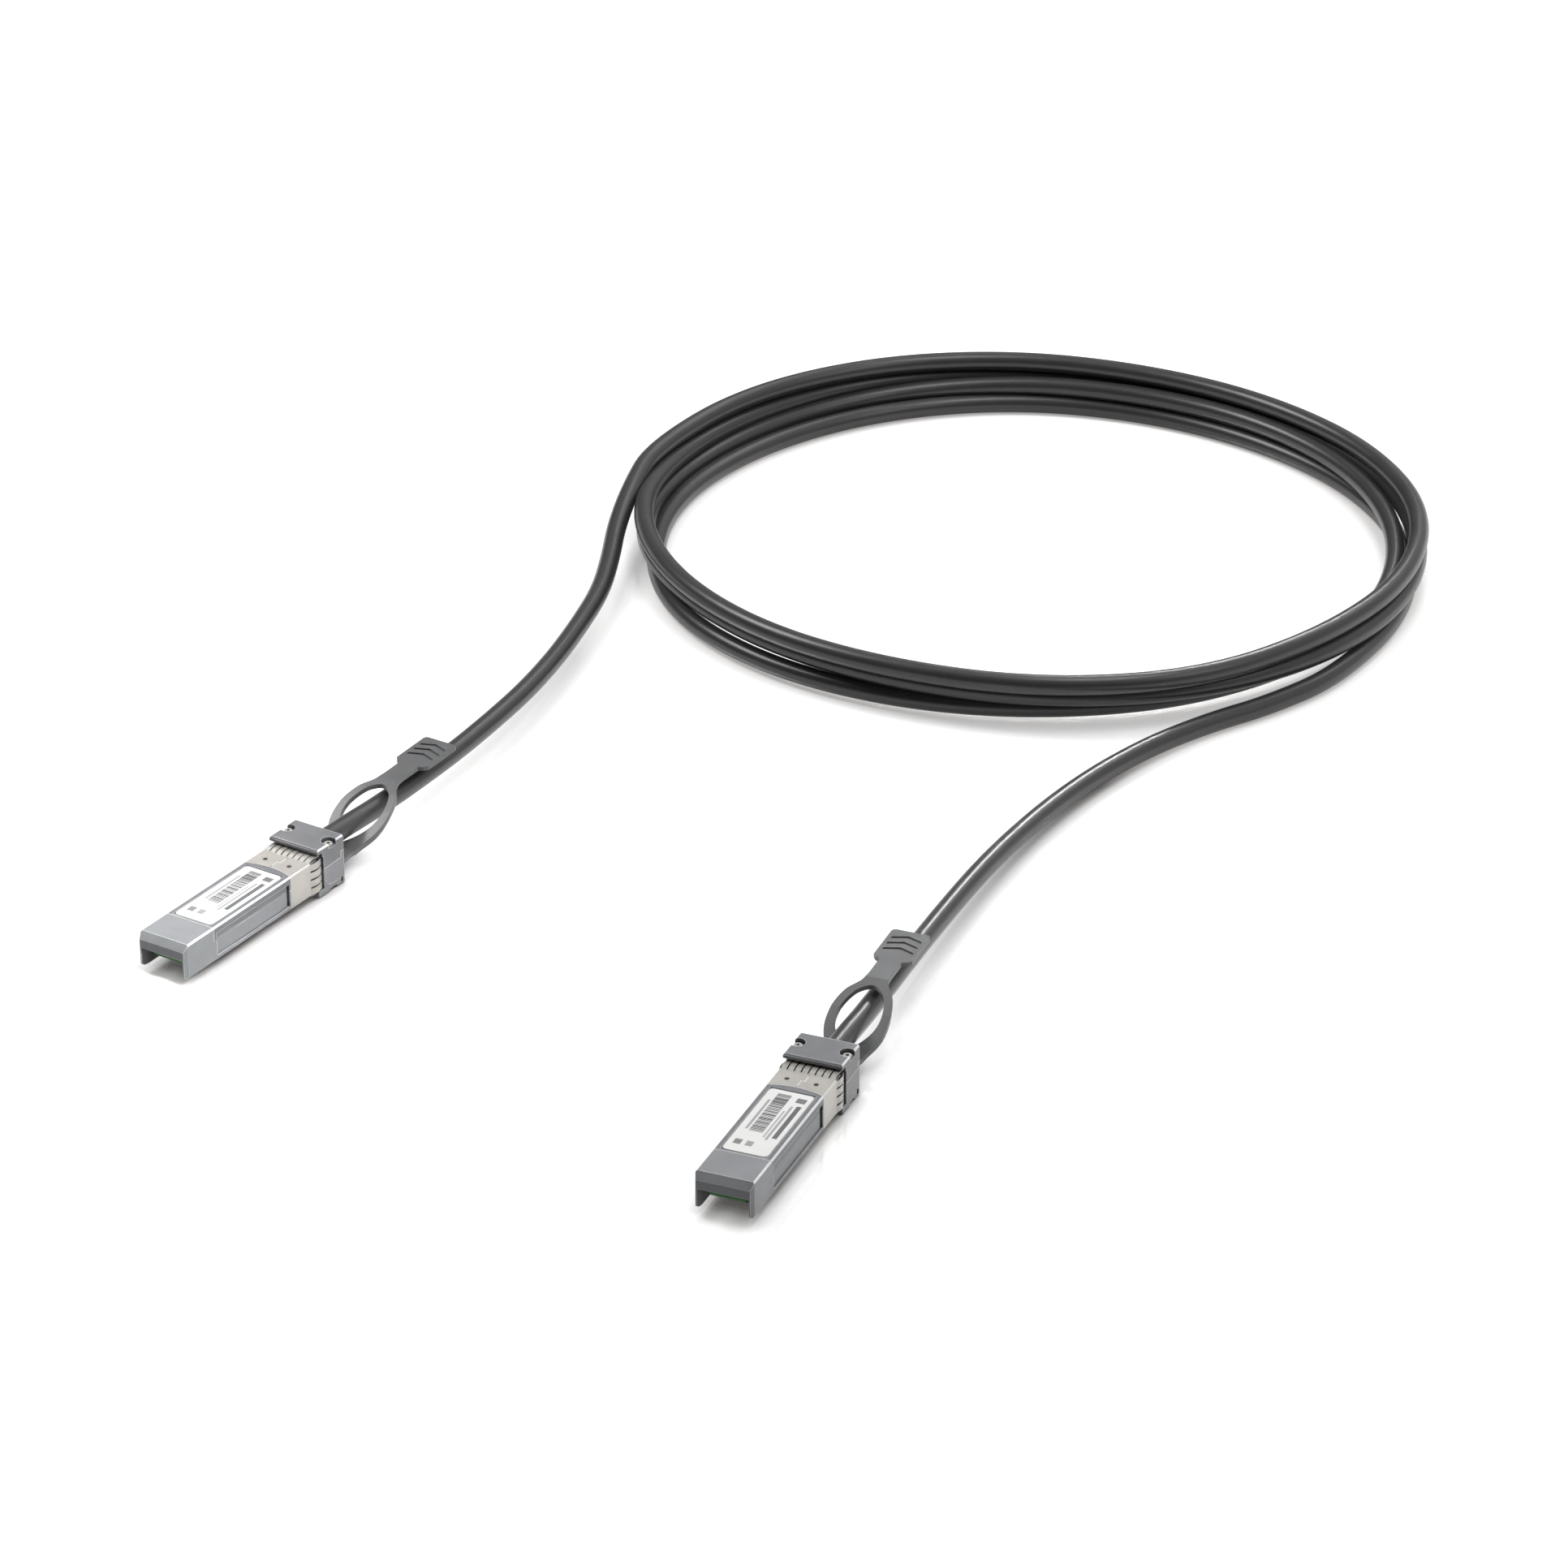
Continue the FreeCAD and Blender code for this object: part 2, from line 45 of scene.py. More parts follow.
def newMaterial(name):
    material = bpy.data.materials.new(name)
    material.use_nodes = True
    nodes = material.node_tree.nodes
    shader = nodes["Principled BSDF"]
    return material, nodes, material.node_tree.links, shader


def addNode(nodes, kind, **settings):
    node = nodes.new(kind)
    for key, value in settings.items():
        if hasattr(node, key):
            setattr(node, key, value)
        else:
            node.inputs[key].default_value = value
    return node


def plugCoords(nodes, links, nose=None, turn=0.0):
    # coordinates in the plug's own frame, in metres, where a nose is given
    coords = nodes.new("ShaderNodeTexCoord")
    if nose is None:
        return coords.outputs["Object"]
    move = addNode(nodes, "ShaderNodeVectorMath", operation="SUBTRACT")
    move.inputs[1].default_value = nose
    spin = addNode(nodes, "ShaderNodeVectorRotate", rotation_type="Z_AXIS")
    spin.inputs["Angle"].default_value = -turn
    links.new(coords.outputs["Object"], move.inputs[0])
    links.new(move.outputs[0], spin.inputs["Vector"])
    return spin.outputs["Vector"]


def noise(nodes, links, coords, scale, detail=4.0, roughness=0.55):
    texture = addNode(nodes, "ShaderNodeTexNoise", Scale=scale, Detail=detail, Roughness=roughness)
    links.new(coords, texture.inputs["Vector"])
    return texture.outputs["Fac"]


def mapRange(nodes, links, value, low, high, fromLow=0.3, fromHigh=0.7):
    node = nodes.new("ShaderNodeMapRange")
    node.inputs["From Min"].default_value = fromLow
    node.inputs["From Max"].default_value = fromHigh
    node.inputs["To Min"].default_value = low
    node.inputs["To Max"].default_value = high
    links.new(value, node.inputs["Value"])
    return node.outputs["Result"]


def reckon(nodes, links, operation, *values):
    node = addNode(nodes, "ShaderNodeMath", operation=operation)
    for socket, value in zip(node.inputs, values):
        if isinstance(value, (int, float)):
            socket.default_value = value
        else:
            links.new(value, socket)
    return node.outputs[0]


def insideBox(nodes, links, across, along, x0, x1, y0, y1):
    # 1 inside a box given in millimetres
    sides = [("GREATER_THAN", across, x0), ("LESS_THAN", across, x1),
             ("GREATER_THAN", along, y0), ("LESS_THAN", along, y1)]
    total = None
    for operation, value, limit in sides:
        side = reckon(nodes, links, operation, value, limit * mm)
        total = side if total is None else reckon(nodes, links, "MULTIPLY", total, side)
    return total


def blendColours(nodes, links, factor, first, second):
    node = nodes.new("ShaderNodeMix")
    node.data_type = "RGBA"
    links.new(factor, node.inputs["Factor"])
    for socket, value in ((node.inputs["A"], first), (node.inputs["B"], second)):
        if isinstance(value, tuple):
            socket.default_value = (*value, 1)
        else:
            links.new(value, socket)
    return node.outputs["Result"]


def roundedNormal(nodes, radius):
    bevel = addNode(nodes, "ShaderNodeBevel", samples=6)
    bevel.inputs["Radius"].default_value = radius
    return bevel.outputs["Normal"]


def fineRelief(nodes, links, shader, height, strength, distance, normal=None):
    bump = nodes.new("ShaderNodeBump")
    bump.inputs["Strength"].default_value = strength
    bump.inputs["Distance"].default_value = distance
    links.new(height, bump.inputs["Height"])
    if normal:
        links.new(normal, bump.inputs["Normal"])
    links.new(bump.outputs["Normal"], shader.inputs["Normal"])


# the ranges over which a painted highlight on rims or painted shade in corners comes in: the turn of the
# rounded normal, the slant of a bevel, and how open the spot is
edgeRanges = {"turned": (0.93, 0.995), "slanted": (0.38, 0.44), "corner": (0.20, 0.85), "rimHighlight": (0.80, 0.98)}
# how strongly the upper bevels take the painted highlight
bevelHighlight = 0.85


def edgeAmount(nodes, links, normal):
    # share of painted highlight: 1 on outer edges, somewhat less on the narrow upper bevels along the body, 0
    # on broad faces
    flat = nodes.new("ShaderNodeNewGeometry")
    dot = addNode(nodes, "ShaderNodeVectorMath", operation="DOT_PRODUCT")
    links.new(flat.outputs["Normal"], dot.inputs[0])
    links.new(normal, dot.inputs[1])
    turned = mapRange(nodes, links, dot.outputs["Value"], 1.0, 0.0, *edgeRanges["turned"])
    split = nodes.new("ShaderNodeSeparateXYZ")
    links.new(flat.outputs["True Normal"], split.inputs[0])
    sideways = reckon(nodes, links, "ABSOLUTE", split.outputs["X"])
    slanted = reckon(nodes, links, "MULTIPLY", sideways, split.outputs["Z"])
    bevelled = mapRange(nodes, links, slanted, 0.0, bevelHighlight, *edgeRanges["slanted"])
    return reckon(nodes, links, "MAXIMUM", turned, bevelled)


def openness(nodes, reach):
    shade = addNode(nodes, "ShaderNodeAmbientOcclusion", samples=8)
    shade.inputs["Distance"].default_value = reach
    return shade.outputs["AO"]


def stampMarks(nodes, links, colour, coords, marks):
    # paints shade into the dimples and lightens the seam on top of the collar
    split = nodes.new("ShaderNodeSeparateXYZ")
    links.new(coords, split.inputs[0])
    across, along = split.outputs["X"], split.outputs["Y"]
    onTop = reckon(nodes, links, "GREATER_THAN", split.outputs["Z"], marks["above"] * mm)
    for x, y, radius in marks["dimples"]:
        squares = [reckon(nodes, links, "POWER", reckon(nodes, links, "SUBTRACT", value, centre * mm), 2)
                   for value, centre in ((across, x), (along, y))]
        away = reckon(nodes, links, "SQRT", reckon(nodes, links, "ADD", *squares))
        inside = mapRange(nodes, links, away, 1.0, 0.0, 0.75 * radius * mm, radius * mm)
        inside = reckon(nodes, links, "MULTIPLY", inside, onTop)
        colour = blendColours(nodes, links, inside, colour, marks["dark"])
    for box in marks["strokes"]:
        inside = reckon(nodes, links, "MULTIPLY", insideBox(nodes, links, across, along, *box), onTop)
        colour = blendColours(nodes, links, inside, colour, marks["pale"])
    return colour


def finishMaterial(name, spec, nose=None, turn=0.0):
    # a finish with mottled colour, uneven gloss, fine relief, painted shade in corners and painted highlights
    # on edges
    material, nodes, links, shader = newMaterial(name)
    coords = plugCoords(nodes, links, nose, turn)
    broad = noise(nodes, links, coords, spec["broad"], 3.0)
    fine = noise(nodes, links, coords, spec["fine"], 5.0)
    colour = blendColours(nodes, links, mapRange(nodes, links, broad, 0.0, 1.0), spec["dark"], spec["light"])
    normal = roundedNormal(nodes, spec["edge"]) if "edge" in spec else None
    if "corner" in spec:
        # painted shade deep in gaps and corners; only outer edges, which are open all round, get the painted
        # highlight
        around = openness(nodes, spec["cornerReach"])
        clear = mapRange(nodes, links, around, 0.0, 1.0, *edgeRanges["corner"])
        colour = blendColours(nodes, links, clear, spec["corner"], colour)
    if "rimHighlight" in spec:
        # a painted highlight on outer edges and on upper bevels
        outside = mapRange(nodes, links, around, 0.0, 1.0, *edgeRanges["rimHighlight"])
        rimHighlight = reckon(nodes, links, "MULTIPLY", edgeAmount(nodes, links, normal), outside)
        colour = blendColours(nodes, links, rimHighlight, colour, spec["rimHighlight"])
    if "marks" in spec:
        colour = stampMarks(nodes, links, colour, coords, spec["marks"])
    links.new(colour, shader.inputs["Base Color"])
    links.new(mapRange(nodes, links, fine, *spec["gloss"]), shader.inputs["Roughness"])
    shader.inputs["Metallic"].default_value = spec.get("metal", 0.0)
    shader.inputs["Specular IOR Level"].default_value = spec.get("specular", 0.5)
    fineRelief(nodes, links, shader, fine, spec["relief"], spec["depth"], normal)
    return material


# corner colours below are painted shade in gaps; rim colours are painted highlights on edges and upper bevels
finishes = {
    "castMetal": {"dark": (0.225, 0.230, 0.240), "light": (0.260, 0.265, 0.275), "specular": 0.35,
                  "gloss": (0.34, 0.46), "broad": 130, "fine": 2600, "relief": 0.30, "depth": 0.00003,
                  "edge": 0.00022, "rimHighlight": (0.92, 0.93, 0.95), "corner": (0.02, 0.02, 0.022),
                  "cornerReach": 0.0013},
    "springSteel": {"dark": (0.42, 0.405, 0.375), "light": (0.48, 0.465, 0.43), "metal": 0.40,
                    "gloss": (0.28, 0.40), "broad": 200, "fine": 3200, "relief": 0.12, "depth": 0.00002,
                    "edge": 0.00008, "rimHighlight": (0.80, 0.79, 0.75), "corner": (0.02, 0.02, 0.02),
                    "cornerReach": 0.0007,
                    # the dark mark colour is painted shade in the dimples' hollows
                    "marks": {"above": 8.2, "dark": (0.03, 0.03, 0.03), "pale": (0.90, 0.89, 0.86),
                              "dimples": [(-3.4, 42.7, 0.65), (3.4, 42.7, 0.65)],
                              "strokes": [(-0.3, -0.1, 41.0, 43.1), (-0.3, 0.7, 43.0, 43.2),
                                          (0.5, 0.7, 43.1, 45.4)]}},
    "boardEdge": {"dark": (0.03, 0.17, 0.03), "light": (0.05, 0.24, 0.05), "gloss": (0.42, 0.60),
                  "broad": 600, "fine": 4000, "relief": 0.3, "depth": 0.00003},
    "goldPlate": {"dark": (0.72, 0.50, 0.28), "light": (0.86, 0.64, 0.40), "metal": 0.8,
                  "gloss": (0.18, 0.32), "broad": 400, "fine": 3000, "relief": 0.1, "depth": 0.00002},
    "innerFill": {"dark": (0.03, 0.03, 0.035), "light": (0.06, 0.06, 0.065), "gloss": (0.5, 0.7),
                  "broad": 200, "fine": 1500, "relief": 0.3, "depth": 0.00005},
    "wireSheath": {"dark": (0.45, 0.45, 0.44), "light": (0.62, 0.62, 0.60), "gloss": (0.35, 0.5),
                   "broad": 200, "fine": 1500, "relief": 0.3, "depth": 0.00005},
    "platedBrass": {"dark": (0.55, 0.50, 0.40), "light": (0.70, 0.65, 0.54), "metal": 0.8,
                    "gloss": (0.25, 0.4), "broad": 200, "fine": 2500, "relief": 0.1, "depth": 0.00002,
                    "edge": 0.0001},
    "screwSteel": {"dark": (0.48, 0.47, 0.44), "light": (0.60, 0.59, 0.56), "metal": 0.4,
                   "gloss": (0.20, 0.32), "broad": 300, "fine": 3500, "relief": 0.1, "depth": 0.00002,
                   "edge": 0.00008, "rimHighlight": (0.9, 0.9, 0.88), "corner": (0.01, 0.01, 0.01),
                   "cornerReach": 0.0008},
    "pressedSteel": {"dark": (0.38, 0.38, 0.38), "light": (0.50, 0.50, 0.50), "metal": 0.7,
                     "gloss": (0.28, 0.42), "broad": 200, "fine": 2500, "relief": 0.15, "depth": 0.00002,
                     "edge": 0.0001},
    "tabPlastic": {"dark": (0.105, 0.107, 0.110), "light": (0.122, 0.124, 0.127), "specular": 0.6,
                   "gloss": (0.36, 0.46), "broad": 150, "fine": 2200, "relief": 0.25, "depth": 0.00004,
                   "edge": 0.00025, "corner": (0.03, 0.03, 0.03), "cornerReach": 0.0010},
    "cableJacket": {"dark": (0.034, 0.034, 0.035), "light": (0.042, 0.042, 0.043), "gloss": (0.30, 0.36),
                    "broad": 90, "fine": 1400, "relief": 0.015, "depth": 0.00001},
}
# the cover is cast metal too, in a darker tone
darkTone = {"dark": (0.150, 0.154, 0.161), "light": (0.178, 0.182, 0.190)}
finishes["coverMetal"] = {**finishes["castMetal"], **darkTone}

finishOfPiece = {
    "housing": "castMetal", "cover": "coverMetal", "circuit_board": "boardEdge",
    "contacts": "goldPlate", "solder_block": "innerFill", "wire_pairs": "wireSheath",
    "ferrule": "platedBrass", "screws": "screwSteel", "latch": "castMetal", "latch_pin": "screwSteel",
    "latch_spring": "springSteel", "slider": "pressedSteel", "stop_pin": "screwSteel",
    "pull_tab": "tabPlastic",
}

materials = {name: finishMaterial(name, spec) for name, spec in finishes.items()}


def dress(node, material):
    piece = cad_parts[node]
    piece.data.materials.clear()
    piece.data.materials.append(material)


labelPrint = {
    "white": (0.70, 0.70, 0.69), "ink": (0.02, 0.02, 0.023),
    "grain": 1800, "gloss": (0.42, 0.56), "relief": 0.10, "depth": 0.00002,
    "barField": (-2.7, 0.45, 20.2, 36.6), "barPitch": 0.44, "thinBar": 0.40, "thickBar": 0.90,
    "strips": [(3.05, 4.15, 18.9, 32.9, 0.88), (1.85, 2.45, 17.8, 32.4, 0.55), (1.05, 1.50, 18.6, 30.2, 0.45),
               (-3.75, -3.15, 20.6, 33.4, 0.55), (2.0, 4.2, 34.2, 36.1, 0.80), (-3.9, -2.2, 14.2, 16.2, 0.75),
               (-1.2, 0.4, 14.2, 16.2, 0.60)],
}


def labelMaterial(name, nose, turn):
    # white film with a block of uneven bars and a few plain grey strips
    material, nodes, links, shader = newMaterial(name)
    coords = plugCoords(nodes, links, nose, turn)
    split = nodes.new("ShaderNodeSeparateXYZ")
    links.new(coords, split.inputs[0])
    across, along = split.outputs["X"], split.outputs["Y"]

    def bars(pitch, thin, thick):
        # one bar in each step, each of its own width
        step = reckon(nodes, links, "DIVIDE", along, pitch * mm)
        random = nodes.new("ShaderNodeTexWhiteNoise")
        random.noise_dimensions = "1D"
        links.new(reckon(nodes, links, "FLOOR", step), random.inputs["W"])
        width = mapRange(nodes, links, random.outputs["Value"], thin, thick, 0.0, 1.0)
        return reckon(nodes, links, "LESS_THAN", reckon(nodes, links, "FRACT", step), width)

    barWidths = labelPrint["barPitch"], labelPrint["thinBar"], labelPrint["thickBar"]
    field = insideBox(nodes, links, across, along, *labelPrint["barField"])
    ink = reckon(nodes, links, "MULTIPLY", field, bars(*barWidths))
    for *box, tone in labelPrint["strips"]:
        strip = reckon(nodes, links, "MULTIPLY", insideBox(nodes, links, across, along, *box), tone)
        ink = reckon(nodes, links, "MAXIMUM", ink, strip)
    colour = blendColours(nodes, links, ink, labelPrint["white"], labelPrint["ink"])
    links.new(colour, shader.inputs["Base Color"])
    grain = noise(nodes, links, coords, labelPrint["grain"])
    links.new(mapRange(nodes, links, grain, *labelPrint["gloss"]), shader.inputs["Roughness"])
    fineRelief(nodes, links, shader, grain, labelPrint["relief"], labelPrint["depth"])
    return material


for prefix, nose, turn in (("near", nearNose, 0.0), ("far", farNose, farTurn)):
    for piece, finish in finishOfPiece.items():
        dress(f"{prefix}_{piece}", materials[finish])
    dress(f"{prefix}_collar", finishMaterial(prefix + "Collar", finishes["springSteel"], nose, turn))
    dress(f"{prefix}_label", labelMaterial(prefix + "Label", nose, turn))
for cordNode in ("near_lead", "coil", "far_lead"):
    dress(cordNode, materials["cableJacket"])
print("finishes set")


cable = {
    "diameter": 0.005,
    "centre": (-55.0, 274.5),
    "stations": 16,
    "cornerCut": 0.981,
    "lowest": 2.5,
}

nearRoute = [
    (0, 7, 8.2), (0, 16, 8.2), (-0.15, 30, 7.55), (-0.75, 47, 7.0), (-1.5, 65, 6.2), (-1.95, 85, 5.4),
    (-1.85, 104, 4.85), (-0.9, 122, 4.2), (1.5, 143, 3.6), (5.8, 163.5, 3.1), (12.6, 183, 2.8),
    (21.6, 200, 2.6), (31.2, 213.5, 2.5),
]
farRoute = [
    (-141.9, 74.4, 7.55), (-139.6, 90, 7.35), (-137.5, 108, 7.1), (-136.4, 126, 6.85),
    (-136.0, 145, 6.45), (-137.2, 165, 6.0), (-139.8, 185.5, 5.65), (-142.7, 204, 5.7), (-147.6, 221, 6.5),
    (-152.6, 236, 8.2), (-156.2, 253, 10.8),
]

# angle round the coil's centre, radius and height of the centreline, from the near lead up to the far lead
coilShape = [
    (-22, 102.5, 2.5), (0, 99.6, 2.5), (33, 95.9, 2.5), (59, 91.9, 2.5), (91, 90.5, 2.5), (119, 92.0, 2.5),
    (149, 91.9, 2.5), (180, 93.9, 2.5), (203, 94.6, 2.7), (229, 95.5, 3.0), (256, 92.8, 3.2),
    (277, 92.0, 3.4), (295, 92.4, 3.7), (315, 94.2, 4.1), (360, 95.2, 5.4), (405, 93.5, 7.4),
    (450, 91.1, 7.5), (472, 93.3, 7.0), (495, 96.6, 5.4), (517, 98.6, 3.8), (540, 99.3, 2.95),
    (563, 97.4, 6.6), (585, 93.3, 7.8), (630, 91.6, 8.2), (675, 98.3, 7.8), (720, 100.8, 7.4),
    (765, 98.8, 7.4), (810, 96.3, 7.45), (832, 98.6, 7.4), (855, 101.1, 7.7), (900, 100.5, 7.7),
    (923, 97.6, 11.6), (947, 95.4, 12.3), (990, 94.4, 12.5), (1015, 98.3, 12.5), (1032, 100.8, 12.4),
    (1060, 99.0, 12.4), (1094, 101.1, 12.4), (1120, 98.4, 12.4), (1140, 95.2, 12.4), (1172, 94.3, 12.4),
    (1199, 98.2, 12.4), (1225, 101.4, 12.5), (1241, 102.4, 12.5), (1260, 102.6, 12.2),
]


def smoothValue(table, angle, column):
    # smooth curve through the stations
    for i in range(len(table) - 1):
        if table[i][0] <= angle <= table[i + 1][0]:
            break
    a0, a1 = table[i][0], table[i + 1][0]
    v0, v1 = table[i][column], table[i + 1][column]
    before = table[max(i - 1, 0)]
    after = table[min(i + 2, len(table) - 1)]
    slope0 = (v1 - before[column]) / (a1 - before[0])
    slope1 = (after[column] - v0) / (after[0] - a0)
    span = a1 - a0
    t = (angle - a0) / span
    return ((2 * t**3 - 3 * t**2 + 1) * v0 + (t**3 - 2 * t**2 + t) * span * slope0
            + (-2 * t**3 + 3 * t**2) * v1 + (t**3 - t**2) * span * slope1)


def coilPoints():
    first, last = coilShape[0][0], coilShape[-1][0]
    count = round((last - first) * cable["stations"] / 360)
    points = []
    for k in range(count + 1):
        angle = first + (last - first) * k / count
        radius = smoothValue(coilShape, angle, 1) / cable["cornerCut"]
        height = max(smoothValue(coilShape, angle, 2), cable["lowest"])
        x = cable["centre"][0] + radius * math.cos(math.radians(angle))
        y = cable["centre"][1] + radius * math.sin(math.radians(angle))
        points.append((x, y, height))
    return points


def farPoint(along, height):
    x = -math.sin(farTurn) * along
    y = math.cos(farTurn) * along
    return (farNose.x / mm + x, farNose.y / mm + y, farNose.z / mm + height)


def makeCable():
    farEnd = [farPoint(66.0, 6.4), farPoint(57.0, 6.4)]
    route = nearRoute + coilPoints() + list(reversed(farRoute)) + farEnd
    curve = bpy.data.curves.new("cableRun", "CURVE")
    curve.dimensions = "3D"
    spline = curve.splines.new("NURBS")
    spline.points.add(len(route) - 1)
    for point, spot in zip(spline.points, route):
        point.co = (spot[0] * mm, spot[1] * mm, spot[2] * mm, 1)
    spline.order_u = 3
    spline.use_endpoint_u = True
    spline.resolution_u = 14
    curve.bevel_depth = cable["diameter"] / 2
    curve.bevel_resolution = 14
    curve.use_fill_caps = True
    piece = bpy.data.objects.new("cableRun", curve)
    bpy.context.scene.collection.objects.link(piece)
    curve.materials.append(materials["cableJacket"])
    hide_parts("near_lead", "coil", "far_lead")
    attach(piece, "plugs_and_cable")
    return piece


def splineLength(piece):
    probe = piece.data.copy()
    probe.bevel_depth = 0
    holder = bpy.data.objects.new("probe", probe)
    mesh = bpy.data.meshes.new_from_object(holder)
    spots = [v.co for v in mesh.vertices]
    total = sum((b - a).length for a, b in zip(spots, spots[1:]))
    bpy.data.objects.remove(holder)
    bpy.data.meshes.remove(mesh)
    return total


cablePiece = makeCable()
cableLength = splineLength(cablePiece)
print("cable laid, length", round(cableLength, 3))


# the mirror's share falls from mirrorFront to mirrorBack between the places along Y in mirrorAlong
# painted shade, pale under the coil, gives way to the dark contact shadow over coilEdge, from the coil's
# centre
stage = {"size": 6.0, "white": 0.95, "glow": 0.50, "bounce": 0.12, "gloss": 0.05,
         "mirrorFront": 0.34, "mirrorBack": 0.15, "mirrorAlong": (0.06, 0.15),
         "contactShade": (0.10, 0.092, 0.088), "coilShade": (0.66, 0.645, 0.635), "contactReach": 0.0065,
         "contactRange": (0.20, 0.95), "coilEdge": (0.112, 0.128)}


def seenDirectly(nodes, links):
    # 1 for camera, mirror and see-through rays, 0 for light that bounces off the floor
    path = nodes.new("ShaderNodeLightPath")
    total = path.outputs["Is Camera Ray"]
    for ray in ("Is Glossy Ray", "Is Transmission Ray"):
        total = reckon(nodes, links, "MAXIMUM", total, path.outputs[ray])
    return total


def floorColour(nodes, links, spot):
    # painted shadow, dark where the plugs and leads touch down, paler under the coil
    away = addNode(nodes, "ShaderNodeVectorMath", operation="DISTANCE")
    away.inputs[1].default_value = Vector((*cable["centre"], 0)) * mm
    links.new(spot, away.inputs[0])
    beyond = mapRange(nodes, links, away.outputs["Value"], 0.0, 1.0, *stage["coilEdge"])
    shade = blendColours(nodes, links, beyond, stage["coilShade"], stage["contactShade"])
    near = mapRange(nodes, links, openness(nodes, stage["contactReach"]), 0.0, 1.0, *stage["contactRange"])
    return blendColours(nodes, links, near, shade, (stage["white"],) * 3)


def floorMirror(nodes, links, spot):
    mirror = nodes.new("ShaderNodeBsdfGlossy")
    mirror.inputs["Color"].default_value = (1, 1, 1, 1)
    haze = noise(nodes, links, spot, 3.0, 2.0)
    links.new(mapRange(nodes, links, haze, stage["gloss"], stage["gloss"] + 0.01), mirror.inputs["Roughness"])
    place = nodes.new("ShaderNodeSeparateXYZ")
    links.new(spot, place.inputs[0])
    share = mapRange(nodes, links, place.outputs["Y"], stage["mirrorFront"], stage["mirrorBack"],
                     *stage["mirrorAlong"])
    return mirror.outputs[0], share


def floorMaterial():
    material = bpy.data.materials.new("floorSurface")
    material.use_nodes = True
    nodes, links = material.node_tree.nodes, material.node_tree.links
    nodes.remove(nodes["Principled BSDF"])
    spot = plugCoords(nodes, links)
    pale = floorColour(nodes, links, spot)
    seen = seenDirectly(nodes, links)
    plain = nodes.new("ShaderNodeBsdfDiffuse")
    links.new(blendColours(nodes, links, seen, (stage["bounce"],) * 3, pale), plain.inputs["Color"])
    mirror, share = floorMirror(nodes, links, spot)
    mix = nodes.new("ShaderNodeMixShader")
    links.new(share, mix.inputs["Fac"])
    links.new(plain.outputs[0], mix.inputs[1])
    links.new(mirror, mix.inputs[2])
    # a share of the paleness doesn't depend on the lamps, so that cast shadows stay light
    glow = nodes.new("ShaderNodeEmission")
    links.new(pale, glow.inputs["Color"])
    links.new(reckon(nodes, links, "MULTIPLY", seen, stage["glow"]), glow.inputs["Strength"])
    both = nodes.new("ShaderNodeAddShader")
    links.new(mix.outputs[0], both.inputs[0])
    links.new(glow.outputs[0], both.inputs[1])
    links.new(both.outputs[0], nodes["Material Output"].inputs["Surface"])
    return material


def makeFloor():
    mesh = bpy.data.meshes.new("floor")
    half = stage["size"] / 2
    corners = [(-half, -half, 0), (half, -half, 0), (half, half, 0), (-half, half, 0)]
    mesh.from_pydata(corners, [], [(0, 1, 2, 3)])
    floor = bpy.data.objects.new("floor", mesh)
    bpy.context.scene.collection.objects.link(floor)
    mesh.materials.append(floorMaterial())


# brightest towards the right and the back, dark on the camera's side
sky = {"towards": (0.62, 0.50, 0.60), "low": 0.05, "high": 0.75, "range": (0.0, 0.95)}


def makeWorld():
    world = bpy.data.worlds.new("studio")
    bpy.context.scene.world = world
    world.use_nodes = True
    nodes, links = world.node_tree.nodes, world.node_tree.links
    coords = nodes.new("ShaderNodeTexCoord")
    dot = addNode(nodes, "ShaderNodeVectorMath", operation="DOT_PRODUCT")
    dot.inputs[1].default_value = Vector(sky["towards"]).normalized()
    links.new(coords.outputs["Generated"], dot.inputs[0])
    level = mapRange(nodes, links, dot.outputs["Value"], sky["low"], sky["high"], *sky["range"])
    links.new(level, nodes["Background"].inputs["Strength"])
    nodes["Background"].inputs["Color"].default_value = (1, 1, 1, 1)


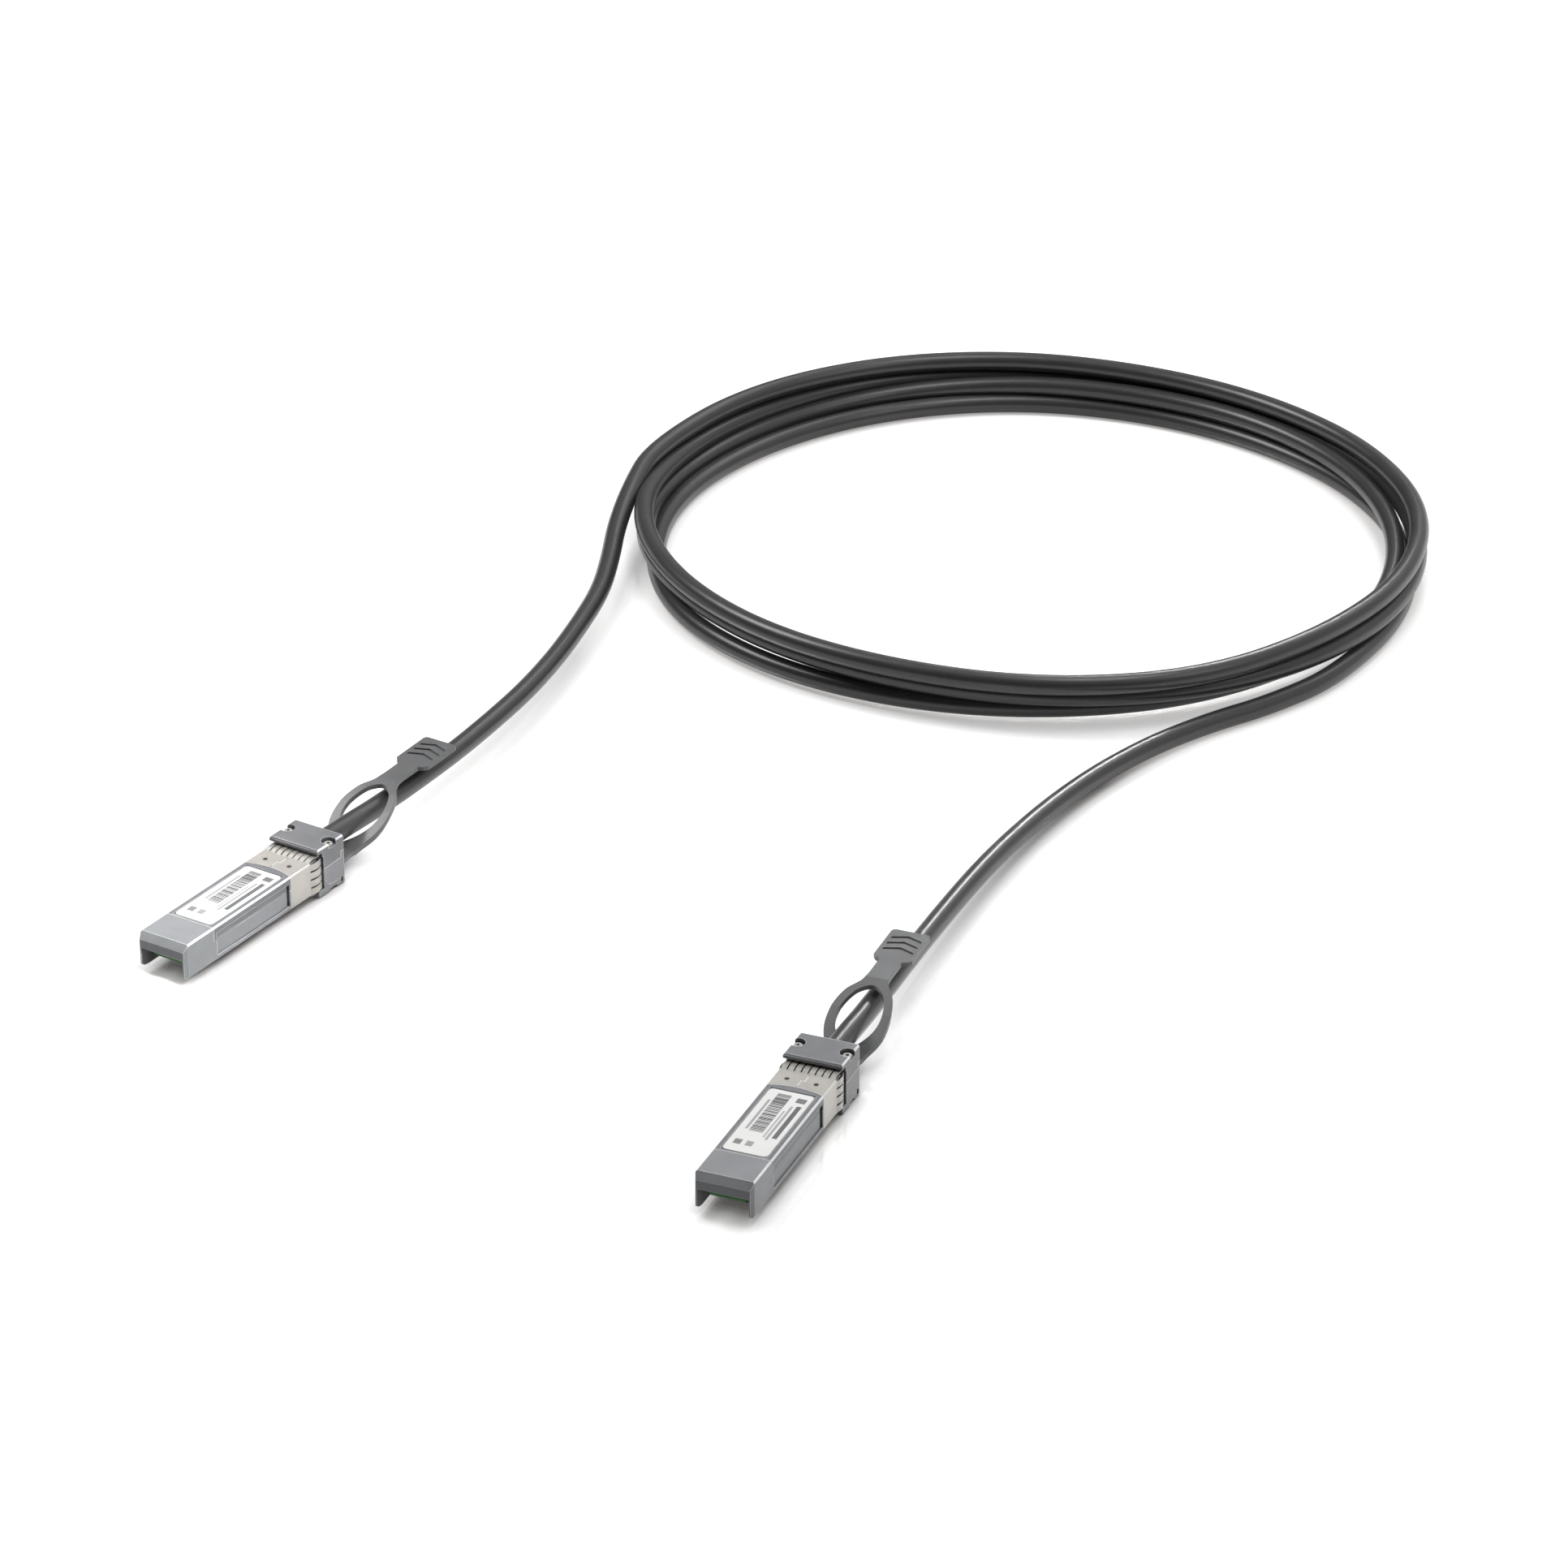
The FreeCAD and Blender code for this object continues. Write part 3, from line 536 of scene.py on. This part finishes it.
def areaLight(name, place, aim, size, power, spread=180):
    lamp = bpy.data.lights.new(name, "AREA")
    lamp.shape = "RECTANGLE"
    lamp.size, lamp.size_y = size
    lamp.energy = power
    lamp.spread = math.radians(spread)
    holder = bpy.data.objects.new(name, lamp)
    holder.location = place
    holder.rotation_euler = (Vector(aim) - Vector(place)).to_track_quat("-Z", "Y").to_euler()
    bpy.context.scene.collection.objects.link(holder)
    return holder


lights = {
    "leftKey": {"place": (-0.75, 0.15, 0.75), "aim": (-0.08, 0.10, 0), "size": (0.40, 0.40), "power": 6.2},
    "rightFill": {"place": (1.00, -0.05, 1.05), "aim": (-0.05, 0.05, 0), "size": (0.50, 0.50), "power": 2.2},
    "overheadSoftbox": {"place": (0.10, 0.25, 1.0), "aim": (-0.04, 0.14, 0), "size": (0.5, 0.3),
                        "power": 2.7},
    "farPlugSpot": {"place": (0.70, -0.30, 1.20), "aim": (-0.156, -0.003, 0), "size": (0.1, 0.1),
                    "power": 0.068, "spread": 8},
    "leadGlint": {"place": (-0.13, 0.94, 0.56), "aim": (0.0, 0.12, 0), "size": (0.12, 0.12), "power": 0.022,
                  "spread": 12},
    "backStrip": {"place": (0.06, 1.00, 0.74), "aim": (0.02, 0.12, 0), "size": (0.70, 0.20), "power": 1.4},
}

view = {"place": (0.4074, -0.9840, 0.6385), "heading": 22.83, "pitch": 27.788, "roll": -0.242, "lens": 132.31,
        "shiftY": 0.00334}


def makeCamera():
    data = bpy.data.cameras.new("camera")
    data.sensor_width = 36
    data.lens = view["lens"]
    data.shift_y = view["shiftY"]
    data.clip_end = 20
    camera = bpy.data.objects.new("camera", data)
    camera.location = view["place"]
    turn = (Matrix.Rotation(math.radians(view["heading"]), 3, "Z")
            @ Matrix.Rotation(math.radians(90 - view["pitch"]), 3, "X")
            @ Matrix.Rotation(math.radians(view["roll"]), 3, "Z"))
    camera.rotation_euler = turn.to_euler()
    bpy.context.scene.collection.objects.link(camera)
    bpy.context.scene.camera = camera
    return camera


makeFloor()
makeWorld()
for name, spec in lights.items():
    areaLight(name, **spec)
makeCamera()
bpy.context.scene.view_settings.view_transform = "Standard"
print("stage set")
